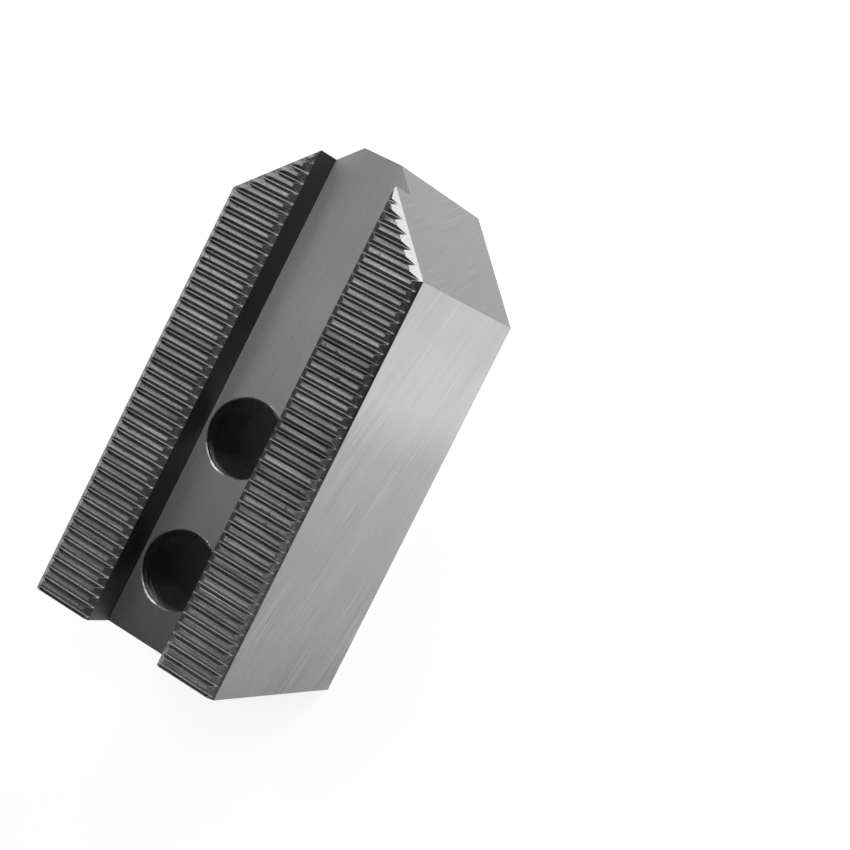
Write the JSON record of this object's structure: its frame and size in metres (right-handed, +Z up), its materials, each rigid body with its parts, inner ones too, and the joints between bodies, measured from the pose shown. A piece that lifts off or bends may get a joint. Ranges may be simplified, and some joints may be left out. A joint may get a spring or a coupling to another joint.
{
  "type": "machinable soft jaw",
  "caption": "Machinable steel soft top jaw for a power chuck, with a serrated mounting face, key slot, counterbored bolt holes and a pointed nose.",
  "frame": {"origin": "middle of the plain clamping face, which the jaw stands on", "axes": "+X along the jaw towards its nose, +Y across the width, +Z up out of the serrated mounting face"},
  "size_m": [0.073, 0.031, 0.038],
  "materials": {
    "steel": "ground and milled bare steel, fine straight grain"
  },
  "bodies": {
    "root": {"soft_jaw": "steel"}
  },
  "joints": []
}
